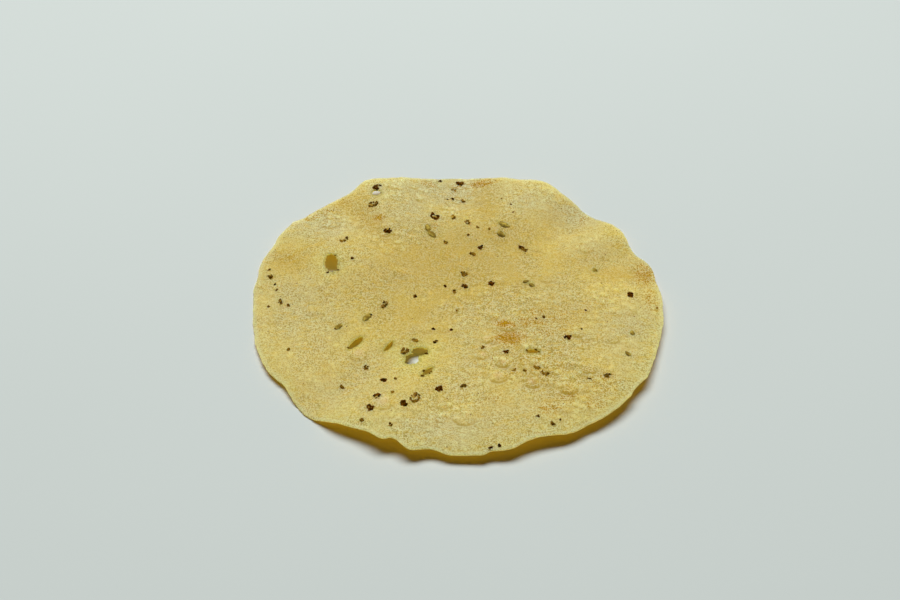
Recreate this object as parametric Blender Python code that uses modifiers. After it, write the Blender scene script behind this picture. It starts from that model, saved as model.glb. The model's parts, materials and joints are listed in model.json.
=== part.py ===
"""A fried papadum: one thin, wavy, blistered round of bread with seeds in it and a few holes.

Units are metres, +Z is up. The origin is on the surface the papadum lies on, under the middle
of its outline. +Y points to the side that is away from a person looking at it.
"""

import math
import random

import bmesh
import bpy
from mathutils import Euler, Matrix, Vector

MM = 0.001

THICKNESS = 1.3 * MM
RINGS = 25                # rings of cells between the middle and the rim
SECTORS = 6               # the sheet is laid out as six wedges of even triangles
NET_CORNER = 30           # degrees from +X to the first edge between two wedges
MIDDLE_LIFT = 3.2         # underside of the sheet near its middle, mm above the surface
RIM_WAVE_FROM = 0.42      # share of the way to the rim where its waves begin

# The outline: (angle in degrees from +X, reach from the middle in mm), at each lobe and notch.
REACH = (
    (7, 98.7), (18, 101.2), (25, 97.5), (34, 99.8), (41, 100.1), (46, 98.6), (55, 100.7), (64, 102.0),
    (71, 99.4), (77, 101.1), (90, 101.6), (112, 100.4), (119, 101.9), (125, 99.3), (133, 99.6),
    (143, 99.5), (147, 101.9), (153, 101.5), (158, 100.7), (164, 101.2), (173, 99.3), (187, 97.7),
    (210, 99.3), (218, 97.8), (230, 100.7), (239, 99.0), (246, 97.8), (252, 99.8), (254, 97.7),
    (259, 101.0), (264, 98.7), (270, 100.6), (277, 101.1), (279, 99.9), (283, 100.4), (291, 97.8),
    (301, 100.8), (305, 100.2), (310, 101.4), (319, 101.2), (323, 100.1), (328, 100.5), (341, 98.4),
)

# The underside of the rim: (angle, mm above the surface), at each crest and trough. Where it
# would go below zero the sheet rests on the surface with a small flat.
RIM_LIFT = (
    (1, 3.8), (20, -0.5), (33, 3.7), (45, -0.4), (65, 6.8), (92, -0.6), (118, 6.9), (131, 2.9),
    (147, 3.4), (168, 0.7), (187, -0.5), (206, 1.4), (218, 1.8), (229, -0.4), (241, 5.0), (250, 6.6),
    (270, 3.3), (291, 5.5), (303, 4.1), (318, 5.1), (345, 3.3),
)

# Broad swells: (x, y, lift, half-length, half-width, turn), in mm and degrees.
SWELLS = (
    (-60, 26, 8, 27, 24, 0),
    (-34, 62, 1.8, 30, 11, -52),
    (24, 62, 2.8, 34, 20, 0),
    (50, 18, 0.9, 22, 26, 0),
    (4, -12, -0.9, 26, 18, 20),
    (-64, -56, -1.8, 20, 20, 0),
    (14, -38, 0.9, 14, 12, 0),
    (38, -52, 1.3, 30, 12, -40),
    (-14, -66, 0.8, 26, 16, 0),
)

# The larger blisters: (x, y, height, radius), in mm.
BLISTERS = (
    (14, -30, 0.9, 4.6), (12, -41, 0.8, 4.4), (21, -46, 0.9, 4.6), (19, -54, 0.9, 6.2),
    (34, -58, 0.9, 5.2), (-32, -73, 0.9, 7.5), (-45, -40, 0.8, 6.5), (24, -19, 1.2, 7), (50, -60, 1, 7),
    (60, -48, 1, 6), (44, 16, 0.8, 7), (64, 41, 0.8, 7.5), (-88, -14, 0.7, 6.5), (-66, 56, 0.8, 8),
    (4, -79, 0.9, 7.5), (72, -26, 0.8, 7),
)
SMALL_BLISTERS = 60
SMALL_BLISTER_HEIGHT = (0.3, 0.7)
SMALL_BLISTER_RADIUS = (3.2, 5.2)

# Holes right through: (x, y, length, width, turn). The middle one is two in a row.
HOLES = (
    (-62.3, 19.5, 14.8, 6.8, 103),
    (-16.7, -38.2, 7.8, 5.6, 8),
    (-20.3, -43.3, 8, 6.4, 62),
    (-46.6, -33.3, 9.6, 3.6, 53),
    (-31.4, -35.6, 7.4, 2.2, 60),
    (-13, -51.8, 7.8, 2.6, 52),
    (35, -37.6, 7.2, 2.7, 3),
    (-43.5, 78.4, 4.6, 4.4, 90),
)
HOLE_DEPTH = 40 * MM
HOLE_SIDES = 12
HOLE_RAGGED = 0.14        # share by which a hole's edge wanders in and out

# What is baked into the bread: (x, y, length, turn), in mm and degrees.
PEPPER = (
    (-22.8, -74.7, 4.9, 98), (-37.4, -77.1, 4.9, 106), (-36.3, 47.3, 6, 71), (-7.6, -63.3, 4.9, 52),
    (-12.5, 62.5, 6.5, 124), (-34.5, -69.9, 4.7, 41), (32.3, 37.6, 4.9, 174), (51.6, -27.5, 4.7, 48),
    (0.6, 96.5, 5.2, 5), (-43.3, 83.1, 5.9, 40), (11.4, 37.6, 3.9, 58), (16.3, 10.2, 3.9, 0),
    (83.9, 3.4, 4.4, 73), (-32.4, -58.5, 3.6, 56), (-10.3, 98.4, 3.6, 11), (15, -97.5, 3.1, 13),
    (3.4, 8, 4.7, 144),
)
HUSKS = (
    (33.8, 35.6, 5.6, 160), (40.2, -52.1, 5.4, 11), (-2.8, 90.4, 4.1, 150), (-35.1, -7.5, 6.4, 52),
    (3.3, 17.1, 5.1, 128), (68, -53.2, 4.6, 24), (3.3, -60.9, 3.6, 150), (4.3, 57.3, 5.6, 105),
    (-3.1, 62.1, 5.4, 104), (-18.1, -70, 7.2, 59), (-44.8, 69.4, 6.4, 12), (7.3, 32.5, 4.4, 148),
    (-19.4, -31.1, 4.1, 0), (-40.9, -48.5, 4.4, 77), (-6.7, 40.6, 3.3, 108), (-9.6, -32.2, 3.6, 25),
    (12, -36.7, 3.3, 69), (-92.3, 14.5, 4.6, 104), (-85.1, -3.2, 3.8, 124), (42.4, -83.9, 3.6, 146),
    (36.4, -49.2, 3.6, 169), (2.5, 79.4, 4.6, 86), (-57.5, 36.6, 5.6, 44), (41, -13.5, 2.6, 25),
    (-50.5, -60.2, 3.8, 118), (-28.1, -87.8, 3.6, 139), (-1.3, 4.1, 3.6, 105), (-23.9, -38.5, 5.9, 64),
)
CUMIN = (
    (-15.6, 51.5, 6.6, 98), (-13.9, 47, 6.8, 128), (23.1, 54.4, 7.2, 145), (22, 47.5, 5.6, 128),
    (33.7, 11.3, 3.4, 10), (36.2, 9.4, 3.6, 135), (-42.5, -16.4, 6.2, 57), (-55.2, -22.6, 5.6, 54),
    (68.4, 24.1, 4.2, 88), (79, -38.2, 3.8, 127), (82.3, -23.3, 3.8, 86),
)
SEED_SLENDER = 0.5        # a seed's width as a share of its length
SEED_THICK = 1.5 * MM
SEED_SUNK = 0.15 * MM     # how far a seed's middle lies under the top of the sheet
SEED_SEGMENTS = 5
SEED_RINGS = 4

BREAD_COLOUR = (0.56, 0.42, 0.17, 1.0)
BREAD_ROUGHNESS = 0.8

draw = random.Random(7)


def smooth(share):
    """0 to 1 with a soft start and end."""
    share = min(max(share, 0.0), 1.0)
    return share * share * (3 - 2 * share)


def around(stops, angle):
    """The value at an angle, eased between the stops of a closed ring."""
    angle = (angle - stops[0][0]) % 360 + stops[0][0]
    ring = stops + ((stops[0][0] + 360, stops[0][1]),)
    for (before, low), (after, high) in zip(ring, ring[1:]):
        if angle <= after:
            return low + (high - low) * smooth((angle - before) / (after - before))
    return ring[-1][1]


def bump(x, y, spot_x, spot_y, length, width, turn):
    """A round-topped hill of height 1 that fades out at about twice its half-sizes."""
    turn = math.radians(turn)
    along = (x - spot_x) * math.cos(turn) + (y - spot_y) * math.sin(turn)
    across = (y - spot_y) * math.cos(turn) - (x - spot_x) * math.sin(turn)
    return math.exp(-((along / length) ** 2) - (across / width) ** 2)


def blister(x, y, spot_x, spot_y, radius):
    """A dome of height 1 with a soft foot at its radius."""
    return smooth(1 - math.hypot(x - spot_x, y - spot_y) / radius)


def scattered_blisters():
    """Small blisters all over, closer together in the middle and the front right."""
    found = []
    while len(found) < SMALL_BLISTERS:
        reach = 92 * math.sqrt(draw.random())
        angle = math.radians(draw.uniform(0, 360))
        x, y = reach * math.cos(angle), reach * math.sin(angle)
        height = draw.uniform(*SMALL_BLISTER_HEIGHT)
        radius = draw.uniform(*SMALL_BLISTER_RADIUS)
        if draw.random() < 0.45 + 0.55 * smooth(0.5 + (x - y) / 120):
            found.append((x, y, height, radius))
    return found


def underside(x, y, angle, share, blisters):
    """Height in mm of the sheet's underside at a spot, never under the surface it lies on."""
    inner = MIDDLE_LIFT
    for spot_x, spot_y, lift, length, width, turn in SWELLS:
        inner += lift * bump(x, y, spot_x, spot_y, length, width, turn)
    wave = smooth((share - RIM_WAVE_FROM) / (1 - RIM_WAVE_FROM))
    height = inner + (around(RIM_LIFT, angle) - inner) * wave
    if height > 0:
        for spot_x, spot_y, rise, radius in blisters:
            height += rise * blister(x, y, spot_x, spot_y, radius) * min(height, 1.0)
    return max(height, 0.0)


def sheet_place(corner, blisters):
    """Where a point of the flat six-sided net goes on the papadum's underside."""
    wedge = 360 / SECTORS
    half = math.radians(wedge / 2)
    net_angle = math.degrees(math.atan2(corner.y, corner.x))
    sector = math.floor((net_angle - NET_CORNER) / wedge)
    middle = NET_CORNER + (sector + 0.5) * wedge
    flat = corner.to_2d() @ Matrix.Rotation(math.radians(middle), 2)
    share = flat.x / math.cos(half)
    if share < 1e-6:
        return Vector((0, 0, underside(0, 0, 0, 0, blisters))) * MM
    angle = middle + wedge / 2 * flat.y / (share * math.sin(half))
    reach = share * around(REACH, angle)
    x = reach * math.cos(math.radians(angle))
    y = reach * math.sin(math.radians(angle))
    return Vector((x, y, underside(x, y, angle, share, blisters))) * MM


def height_at(x, y, blisters):
    """Height in mm of the underside at a spot given in mm."""
    angle = math.degrees(math.atan2(y, x))
    share = math.hypot(x, y) / around(REACH, angle)
    return underside(x, y, angle, share, blisters)


def new_object(name, shape, collection):
    """A mesh object from a bmesh, which it uses up."""
    mesh = bpy.data.meshes.new(name)
    shape.to_mesh(mesh)
    shape.free()
    thing = bpy.data.objects.new(name, mesh)
    collection.objects.link(thing)
    return thing


def make_sheet(collection, blisters):
    """The bread: a six-sided net of even triangles, laid over the wavy form and thickened."""
    shape = bmesh.new()
    bmesh.ops.create_circle(shape, cap_ends=True, cap_tris=True, segments=SECTORS, radius=1)
    bmesh.ops.subdivide_edges(shape, edges=shape.edges[:], cuts=RINGS - 1, use_grid_fill=True)
    for vert in shape.verts:
        vert.co = sheet_place(vert.co, blisters)
    bmesh.ops.recalc_face_normals(shape, faces=shape.faces[:])
    if sum(face.normal.z for face in shape.faces) < 0:
        bmesh.ops.reverse_faces(shape, faces=shape.faces[:])
    sheet = new_object("papadum", shape, collection)
    skin = sheet.modifiers.new("thickness", "SOLIDIFY")
    skin.thickness = THICKNESS
    skin.offset = 1
    return sheet


def make_seed(number, spot, collection, blisters):
    """A plump grain, lying along the sheet and sunk to its middle in it."""
    x, y, length, turn = spot
    shape = bmesh.new()
    bmesh.ops.create_uvsphere(
        shape, u_segments=SEED_SEGMENTS, v_segments=SEED_RINGS, radius=0.5
    )
    bmesh.ops.scale(shape, vec=(SEED_SLENDER, SEED_THICK / (length * MM), 1), verts=shape.verts)
    bmesh.ops.rotate(
        shape, matrix=Matrix.Rotation(math.radians(90), 3, "X"), verts=shape.verts
    )
    bmesh.ops.scale(shape, vec=[length * MM] * 3, verts=shape.verts)
    seed = new_object(f"seed_{number:02d}", shape, collection)
    step = 1.5
    rise_x = height_at(x + step, y, blisters) - height_at(x - step, y, blisters)
    rise_y = height_at(x, y + step, blisters) - height_at(x, y - step, blisters)
    lean = Vector((-rise_x, -rise_y, 2 * step)).to_track_quat("Z", "Y")
    seed.rotation_euler = (lean @ Euler((0, 0, math.radians(turn))).to_quaternion()).to_euler()
    top = height_at(x, y, blisters) * MM + THICKNESS - SEED_SUNK
    seed.location = (x * MM, y * MM, top)
    return seed


def fuse_seeds(sheet, blisters):
    """Every seed is joined to the bread, because they were baked as one thing."""
    seeds = bpy.data.collections.new("seeds")
    bpy.context.scene.collection.children.link(seeds)
    for number, spot in enumerate(PEPPER + HUSKS + CUMIN):
        make_seed(number, spot, seeds, blisters)
    join = sheet.modifiers.new("seeds", "BOOLEAN")
    join.operand_type = "COLLECTION"
    join.collection = seeds
    join.operation = "UNION"
    graph = bpy.context.evaluated_depsgraph_get()
    joined = bpy.data.meshes.new_from_object(sheet.evaluated_get(graph))
    sheet.modifiers.clear()
    sheet.data = joined
    for seed in list(seeds.objects):
        bpy.data.objects.remove(seed)
    bpy.data.collections.remove(seeds)


def cut_holes(sheet):
    """Ragged oval cutters, straight down through the sheet."""
    cutters = bpy.data.collections.new("cutters")
    bpy.context.scene.collection.children.link(cutters)
    for number, (x, y, length, width, turn) in enumerate(HOLES):
        shape = bmesh.new()
        bmesh.ops.create_cone(
            shape, cap_ends=True, segments=HOLE_SIDES, radius1=0.5, radius2=0.5, depth=HOLE_DEPTH
        )
        wander = [1 + draw.uniform(-HOLE_RAGGED, HOLE_RAGGED) for _ in range(HOLE_SIDES)]
        for vert in shape.verts:
            side = round(math.atan2(vert.co.y, vert.co.x) / math.tau * HOLE_SIDES) % HOLE_SIDES
            vert.co.x *= length * MM * wander[side]
            vert.co.y *= width * MM * wander[side]
        cutter = new_object(f"hole_{number}", shape, cutters)
        cutter.location = (x * MM, y * MM, 0)
        cutter.rotation_euler = (0, 0, math.radians(turn))
        cutter.hide_render = True
        cutter.display_type = "WIRE"
        cutter.parent = sheet
    holes = sheet.modifiers.new("holes", "BOOLEAN")
    holes.operand_type = "COLLECTION"
    holes.collection = cutters
    holes.operation = "DIFFERENCE"


def middle_of(thing):
    """The middle of an object's outline, seen from above."""
    corners = [thing.matrix_world @ vert.co for vert in thing.data.vertices]
    reach_x = [corner.x for corner in corners]
    reach_y = [corner.y for corner in corners]
    return Vector((min(reach_x) + max(reach_x), min(reach_y) + max(reach_y), 0)) / 2


def bread_material():
    """Fried lentil dough, pale gold and dull."""
    material = bpy.data.materials.new("fried_lentil_bread")
    material.use_nodes = True
    surface = material.node_tree.nodes["Principled BSDF"]
    surface.inputs["Base Color"].default_value = BREAD_COLOUR
    surface.inputs["Roughness"].default_value = BREAD_ROUGHNESS
    surface.inputs["Metallic"].default_value = 0.0
    return material


def main():
    for thing in list(bpy.data.objects):
        bpy.data.objects.remove(thing)
    papadum = bpy.data.collections.new("papadum")
    bpy.context.scene.collection.children.link(papadum)
    blisters = BLISTERS + tuple(scattered_blisters())
    sheet = make_sheet(papadum, blisters)
    fuse_seeds(sheet, blisters)
    cut_holes(sheet)
    sheet.location = -middle_of(sheet)
    sheet.data.materials.clear()
    sheet.data.materials.append(bread_material())


main()
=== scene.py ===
import json
import math
import random

import bmesh
import bpy
import numpy as np
from mathutils import Matrix, Vector
from mathutils.bvhtree import BVHTree

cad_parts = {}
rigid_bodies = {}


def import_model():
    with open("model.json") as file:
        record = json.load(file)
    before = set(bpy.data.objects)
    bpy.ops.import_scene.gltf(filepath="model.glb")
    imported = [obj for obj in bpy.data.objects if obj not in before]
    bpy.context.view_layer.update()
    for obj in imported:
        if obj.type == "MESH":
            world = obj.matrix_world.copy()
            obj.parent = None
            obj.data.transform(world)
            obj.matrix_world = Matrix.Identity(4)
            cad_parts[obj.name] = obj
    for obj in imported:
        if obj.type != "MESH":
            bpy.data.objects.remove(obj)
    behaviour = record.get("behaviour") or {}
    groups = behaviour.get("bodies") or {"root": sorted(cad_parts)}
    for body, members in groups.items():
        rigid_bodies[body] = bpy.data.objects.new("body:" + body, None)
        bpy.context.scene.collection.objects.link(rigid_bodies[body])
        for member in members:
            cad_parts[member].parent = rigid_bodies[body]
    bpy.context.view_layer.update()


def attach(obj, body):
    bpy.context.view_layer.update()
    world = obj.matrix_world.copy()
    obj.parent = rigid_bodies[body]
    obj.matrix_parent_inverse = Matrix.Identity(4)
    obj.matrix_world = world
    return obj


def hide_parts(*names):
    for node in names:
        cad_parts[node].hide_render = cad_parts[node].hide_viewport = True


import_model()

bl_info = {
    "name": "Papadum",
    "version": (1, 0, 0),
    "blender": (4, 5, 0),
    "location": "3D View > Sidebar > Papadum",
    "description": "A fried papadum with its blisters, pepper and cumin, on a pale floor",
    "category": "Add Mesh",
}

NODE = "papadum"
BODY = "root"
MM = 0.001

# ---------------------------------------------------------------- the form, as the solid has it
# Sizes are in mm and angles in degrees. The origin is under the middle of the outline, and +Y
# points away from a person looking at the papadum.

MIDDLE_LIFT = 3.2         # underside of the sheet near its middle
RIM_WAVE_FROM = 0.42      # share of the way to the rim where its waves begin
NET_CORNER = 30           # first corner of the six-sided net

# The outline: (angle, reach from the middle), at each lobe and notch.
REACH = (
    (7, 98.7), (18, 101.2), (25, 97.5), (34, 99.8), (41, 100.1), (46, 98.6), (55, 100.7), (64, 102.0),
    (71, 99.4), (77, 101.1), (90, 101.6), (112, 100.4), (119, 101.9), (125, 99.3), (133, 99.6),
    (143, 99.5), (147, 101.9), (153, 101.5), (158, 100.7), (164, 101.2), (173, 99.3), (187, 97.7),
    (210, 99.3), (218, 97.8), (230, 100.7), (239, 99.0), (246, 97.8), (252, 99.8), (254, 97.7),
    (259, 101.0), (264, 98.7), (270, 100.6), (277, 101.1), (279, 99.9), (283, 100.4), (291, 97.8),
    (301, 100.8), (305, 100.2), (310, 101.4), (319, 101.2), (323, 100.1), (328, 100.5), (341, 98.4),
)

# The underside of the rim: (angle, height), at each crest and trough.
RIM_LIFT = (
    (1, 3.8), (20, -0.5), (33, 3.7), (45, -0.4), (65, 6.8), (92, -0.6), (118, 6.9), (131, 2.9),
    (147, 3.4), (168, 0.7), (187, -0.5), (206, 1.4), (218, 1.8), (229, -0.4), (241, 5.0), (250, 6.6),
    (270, 3.3), (291, 5.5), (303, 4.1), (318, 5.1), (345, 3.3),
)

# Broad swells: (x, y, lift, half-length, half-width, turn).
SWELLS = (
    (-60, 26, 8, 27, 24, 0),
    (-34, 62, 1.8, 30, 11, -52),
    (24, 62, 2.8, 34, 20, 0),
    (50, 18, 0.9, 22, 26, 0),
    (4, -12, -0.9, 26, 18, 20),
    (-64, -56, -1.8, 20, 20, 0),
    (14, -38, 0.9, 14, 12, 0),
    (38, -52, 1.3, 30, 12, -40),
    (-14, -66, 0.8, 26, 16, 0),
)

# The larger blisters: (x, y, height, radius).
BLISTERS = (
    (14, -30, 0.9, 4.6), (12, -41, 0.8, 4.4), (21, -46, 0.9, 4.6), (19, -54, 0.9, 6.2),
    (34, -58, 0.9, 5.2), (-32, -73, 0.9, 7.5), (-45, -40, 0.8, 6.5), (24, -19, 1.2, 7), (50, -60, 1, 7),
    (60, -48, 1, 6), (44, 16, 0.8, 7), (64, 41, 0.8, 7.5), (-88, -14, 0.7, 6.5), (-66, 56, 0.8, 8),
    (4, -79, 0.9, 7.5), (72, -26, 0.8, 7),
)
SMALL_BLISTERS = 60
SMALL_BLISTER_REACH = 92  # how far from the middle they are found
SMALL_BLISTER_HEIGHT = (0.3, 0.7)
SMALL_BLISTER_RADIUS = (3.2, 5.2)
SPARSE_SHARE = 0.45       # share of them that is kept at the back left, where they are fewest
SPARSE_SPAN = 120         # over this many mm, towards the front right, the share grows to 1

# Holes right through: (x, y, length, width, turn). The middle one is two in a row.
HOLES = (
    (-62.3, 19.5, 14.8, 6.8, 103),
    (-16.7, -38.2, 7.8, 5.6, 8),
    (-20.3, -43.3, 8, 6.4, 62),
    (-46.6, -33.3, 9.6, 3.6, 53),
    (-31.4, -35.6, 7.4, 2.2, 60),
    (-13, -51.8, 7.8, 2.6, 52),
    (35, -37.6, 7.2, 2.7, 3),
    (-43.5, 78.4, 4.6, 4.4, 90),
)
HOLE_SIDES = 12
HOLE_RAGGED = 0.14
WIDE_HOLES = 3            # the first three are wide, and the bread by them is thin and pale
CUT_SPAN = (-6, 24)       # from below the lowest to above the highest place of the sheet

# What is baked into the bread: (x, y, length, turn).
PEPPER = (
    (-22.8, -74.7, 4.9, 98), (-37.4, -77.1, 4.9, 106), (-36.3, 47.3, 6, 71), (-7.6, -63.3, 4.9, 52),
    (-12.5, 62.5, 6.5, 124), (-34.5, -69.9, 4.7, 41), (32.3, 37.6, 4.9, 174), (51.6, -27.5, 4.7, 48),
    (0.6, 96.5, 5.2, 5), (-43.3, 83.1, 5.9, 40), (11.4, 37.6, 3.9, 58), (16.3, 10.2, 3.9, 0),
    (83.9, 3.4, 4.4, 73), (-32.4, -58.5, 3.6, 56), (-10.3, 98.4, 3.6, 11), (15, -97.5, 3.1, 13),
    (3.4, 8, 4.7, 144),
)
HUSKS = (
    (33.8, 35.6, 5.6, 160), (40.2, -52.1, 5.4, 11), (-2.8, 90.4, 4.1, 150), (-35.1, -7.5, 6.4, 52),
    (3.3, 17.1, 5.1, 128), (68, -53.2, 4.6, 24), (3.3, -60.9, 3.6, 150), (4.3, 57.3, 5.6, 105),
    (-3.1, 62.1, 5.4, 104), (-18.1, -70, 7.2, 59), (-44.8, 69.4, 6.4, 12), (7.3, 32.5, 4.4, 148),
    (-19.4, -31.1, 4.1, 0), (-40.9, -48.5, 4.4, 77), (-6.7, 40.6, 3.3, 108), (-9.6, -32.2, 3.6, 25),
    (12, -36.7, 3.3, 69), (-92.3, 14.5, 4.6, 104), (-85.1, -3.2, 3.8, 124), (42.4, -83.9, 3.6, 146),
    (36.4, -49.2, 3.6, 169), (2.5, 79.4, 4.6, 86), (-57.5, 36.6, 5.6, 44), (41, -13.5, 2.6, 25),
    (-50.5, -60.2, 3.8, 118), (-28.1, -87.8, 3.6, 139), (-1.3, 4.1, 3.6, 105), (-23.9, -38.5, 5.9, 64),
)
CUMIN = (
    (-15.6, 51.5, 6.6, 98), (-13.9, 47, 6.8, 128), (23.1, 54.4, 7.2, 145), (22, 47.5, 5.6, 128),
    (33.7, 11.3, 3.4, 10), (36.2, 9.4, 3.6, 135), (-42.5, -16.4, 6.2, 57), (-55.2, -22.6, 5.6, 54),
    (68.4, 24.1, 4.2, 88), (79, -38.2, 3.8, 127), (82.3, -23.3, 3.8, 86),
)

# ---------------------------------------------------------------- what is finer than the solid

TOP_RINGS = 150           # rings of the net on the upper side, 0.7 mm apart
LOW_RINGS = 75
RIM_ROWS = (0.25, 0.5, 0.75)    # heights of the rows of corners that round the rim
RIM_REACH = 5.0           # how far in from the rim the bread grows thinner
TORN_REACH = 3.5          # and how far from a hole's edge
TORN_SHOWS = 1.6          # how far from it the torn bread looks darker
THINNED_BELOW = 0.4       # of what the bread is thinner by, the share that is missing below
RIM_JITTER = ((31, 0.12), (47, 0.09), (83, 0.06), (131, 0.05), (197, 0.04))    # (waves, mm)
JITTER_SHIFT = 1.7        # from where one of them starts to where the next does, in radians
EDGE_ANGLE = 62           # faces that meet at more than this show an edge
EDGE_STEPS = 4            # corners of a hole's edge for each side of the solid's hole
HOLE_FINE = 0.05
THIN_REACH = 9            # how far from a wide hole more light comes through
TORN_CURL = 0.35          # how far a hole's torn lip stands up
CURL_REACH = 1.4
HOLE_NEAR = 16            # a place farther than this from a hole's middle isn't measured
FAR = 99.0                # the distance given for such a place
GRAIN_MOUND = 0.25        # how far the bread stands up round a seed
GRAIN_ROOM = 2.4
FOOT_AT = 0.72            # where the foot of a blister is, as a share of its radius
FOOT_REACH = 2.5          # how far from its foot the painted shade and highlight reach
DRY_TOPS = 7              # of the larger blisters, how many have a pale top: partly dry skin, partly painted highlight
BUBBLE_SEED = 0.3         # where in the endless texture the fine bubbles are taken from
SIDES_APART = 0.7         # how far off in that texture the lower side's pattern is, in m

# Flecks that are in this scene only: (x, y, length, turn). The first ones are pepper, the rest husk.
DARK_FLECKS = 14
FLECKS = (
    (22.5, -39.5, 3.9, 174), (61.5, -8.6, 1.4, 0), (58.6, -21.7, 1.4, 0), (-51.9, 20.1, 2.8, 8),
    (-93.6, 19.5, 2.4, 139), (-20.4, -0.5, 2.5, 31), (-5.9, 7.3, 2.2, 3), (-11, -23, 2.1, 125),
    (-2.7, -23.3, 1.8, 144), (-40.8, -14.5, 1.8, 40), (-56.6, -24.1, 1.7, 40), (18.6, -96.9, 2.1, 173),
    (-2.9, 81.8, 2.3, 133), (-89.3, 9, 1.6, 98), (35.7, -79.9, 2.5, 27), (-77.9, -37.5, 2.1, 138),
    (95.6, -5.6, 1.6, 33), (-28.1, -67.1, 2.3, 29), (-40.3, -84.7, 2.4, 7), (25.8, -50.8, 2.8, 31),
    (30.8, -51.3, 2.5, 98), (16, 50.7, 2.1, 165), (4.9, 46.5, 2.5, 145), (-27.2, -57.8, 2.1, 139),
    (-81, -5.7, 2.1, 55), (-90.5, -6.5, 1.8, 152), (-92.2, 14.6, 2.8, 80), (-88.1, 4.8, 1.7, 145),
    (-85, -3.2, 2.3, 120), (59.8, -55.7, 2.1, 9), (-0.5, -9.4, 1.8, 95), (37.4, -14.8, 1.6, 24),
    (27.2, 70.4, 1.6, 100), (22.9, 76.8, 1.4, 0), (28.3, 63.6, 1.6, 60), (9.9, 52.3, 2.3, 124),
    (-5.9, 81.4, 1.8, 116), (45.3, -80.9, 1.4, 0),
)

# Browner places: (x, y, half-length, half-width, turn, strength). The weak one at (-85.6, 29.5) stands
# for
# the shade on the slope left of the hill: painted shade.
TOASTED = (
    (22.4, -18.9, 4.5, 2.6, -20, 1), (24.6, -28.8, 7.8, 4.4, 12, 1), (25.6, -32.2, 2.8, 3, 0, 0.7),
    (33.6, -16.9, 7.6, 3.8, 0, 0.45), (41.4, -23.5, 7.5, 4.2, 0, 0.3), (38.1, -9.6, 6.7, 2.8, 0, 0.35),
    (41.3, -74.1, 6.1, 3.8, 0, 0.4), (49.6, -66.5, 7.1, 4.1, 0, 0.35), (61.7, -70.8, 6.1, 4.2, 0, 0.35),
    (12, 95.2, 6.7, 3.4, 0, 0.85), (0.7, 94.9, 4.9, 3.7, 0, 0.6), (-69.1, 66.4, 19.6, 5, 39, 0.3),
    (-61, 74.3, 6.5, 3.9, 0, 0.35), (65, 68.8, 5.3, 6.5, 0, 0.3), (93.6, 20.6, 5.9, 10.7, 0, 0.6),
    (67.9, -53.4, 4.5, 2.7, 0, 0.5), (-41.1, 58.9, 2.7, 2.6, 0, 0.8), (-16.7, 93.6, 5.6, 2.9, 0, 0.4),
    (-12.5, 54.1, 3.6, 3.7, 0, 0.35), (48.8, -15, 19, 9.8, 0, 0.25), (40.3, -46.7, 22.7, 18.3, 0, 0.2),
    (64, -62.4, 17.8, 13, 0, 0.2), (-85.6, 29.5, 10.5, 6.6, 0, 0.2), (-48.9, 57.2, 32.7, 4, -55, 0.2),
    (16.8, -67.3, 6.2, 4.4, 0, 0.3), (93.1, 0.2, 3.9, 13.6, 0, 0.35),
)

# Deeper yellow places, partly where the dough stayed smooth and partly painted shade on the slopes and in
# the crease that face away from the light; and paler places, partly the dough's paler tone and partly
# painted light on slopes that face it.
DEEPER_AND_SHADED = (
    (-1.4, 26.2, 44.9, 35.9, 0, 0.85), (-13.5, 12.1, 29.5, 25.4, 0, 0.5),
    (21.3, 44.7, 24.9, 20.2, 0, 0.75), (14.4, 73.7, 29.7, 7, -89, 0.9),
    (-43.3, 52.8, 35.7, 8, -55, 0.8), (-83.8, 26.3, 9.6, 7.5, 0, 0.9),
    (-17.7, -10.9, 23.9, 18.2, 0, 0.55), (48.7, 64.7, 17.4, 5, 63, 0.4), (81.9, 21.4, 16.5, 6, 1, 0.8),
    (34.2, -25.8, 28.1, 31.1, 0, 0.25), (52.9, -62.7, 26.7, 27, 0, 0.2), (51.6, -8, 19.2, 9.9, 0, 0.35),
    (-54, 31.8, 13, 16.1, 0, 0.35), (26.7, -36, 44.1, 4.5, -66, 0.6),
)
PALER_AND_LIT = (
    (-65.8, 50.8, 14.4, 11.1, 0, 0.9), (-24.3, 66.4, 15, 15.2, 0, 0.9),
    (35.9, 73.4, 14.3, 13.8, 0, 0.8), (67, 42, 12.7, 9, 0, 0.4), (-79.2, -16.2, 17.3, 28.4, 0, 0.45),
    (-6.6, -87.3, 30.1, 10.5, 0, 0.7), (79.4, -17.5, 14.2, 13.9, 0, 0.4),
    (-49.3, -65.3, 18.4, 16.4, 0, 0.5), (-93.9, 5.7, 5.9, 22.2, 0, 0.25),
    (-4.7, 88.4, 48.2, 18.4, 0, 1), (-82.2, 60.3, 22.8, 14.1, 0, 1), (58.8, 72.2, 26.6, 14.6, 0, 0.9),
    (-30, 54.6, 26, 13.8, 0, 0.7),
)

# Where the crust bubbled most.
BUBBLY = (
    (42.7, -44.5, 32.9, 32.3, 0, 1), (23, -4.5, 24, 17, 0, 0.8), (62.8, -18, 21.8, 18.3, 0, 0.45),
    (-3.5, 81.4, 42.5, 18.9, 0, 1), (-33.5, 42, 17.3, 14.3, 0, 0.9), (-6.9, -75.6, 17.5, 14.6, 0, 0.6),
    (68.9, -0.4, 19.3, 16.7, 0, 0.5), (-66.9, 62.8, 18.8, 14.2, 0, 0.6),
)

draw = random.Random(7)         # drawn in the same order as for the solid
draw_fine = random.Random(31)


def linear(code, alpha=1.0):
    """An sRGB hex colour as the linear colour that Blender's nodes take."""
    shares = (int(code[at:at + 2], 16) / 255 for at in (0, 2, 4))
    return tuple(s / 12.92 if s <= 0.04045 else ((s + 0.055) / 1.055) ** 2.4 for s in shares) + (alpha,)


def smooth(share):
    """0 to 1 with a soft start and end."""
    share = np.clip(share, 0.0, 1.0)
    return share * share * (3 - 2 * share)


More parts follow.
